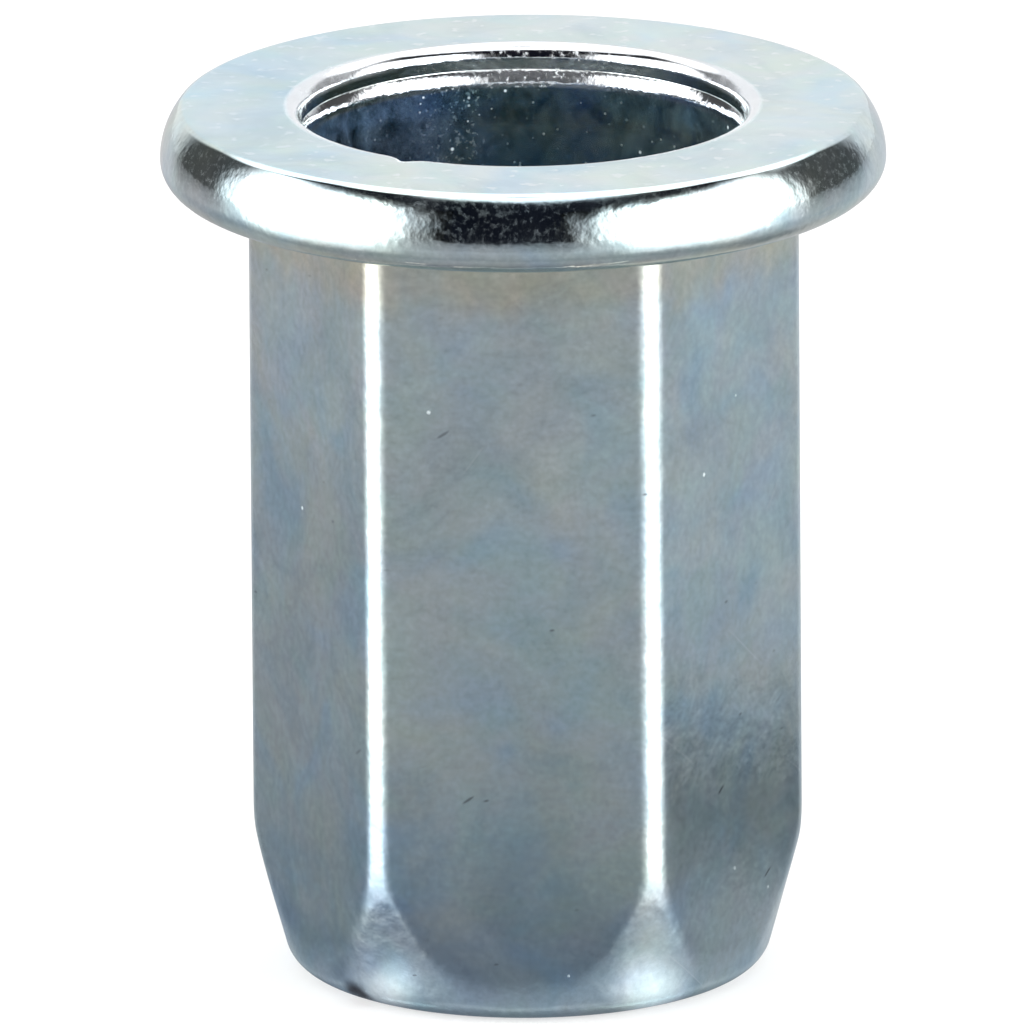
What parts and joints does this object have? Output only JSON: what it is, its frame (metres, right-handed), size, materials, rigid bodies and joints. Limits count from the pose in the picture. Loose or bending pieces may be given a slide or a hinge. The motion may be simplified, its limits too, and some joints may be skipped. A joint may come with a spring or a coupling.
{
  "type": "hex rivet nut",
  "caption": "Blind rivet nut with a flat round flange, a full hexagonal body, a wide thin-walled bore and a threaded bore at its small end.",
  "frame": {"origin": "on the axis, in the plane of the flange's underside, which seats on the sheet", "axes": "+Z along the axis from the small end to the flange, +X through two corners of the hexagon, +Y out of one of its flats"},
  "size_m": [0.0134, 0.0134, 0.0164],
  "materials": {
    "zinc_plated_steel": "bright bluish zinc plating, slightly mottled"
  },
  "bodies": {
    "root": {"rivet_nut": "zinc_plated_steel"}
  },
  "joints": []
}
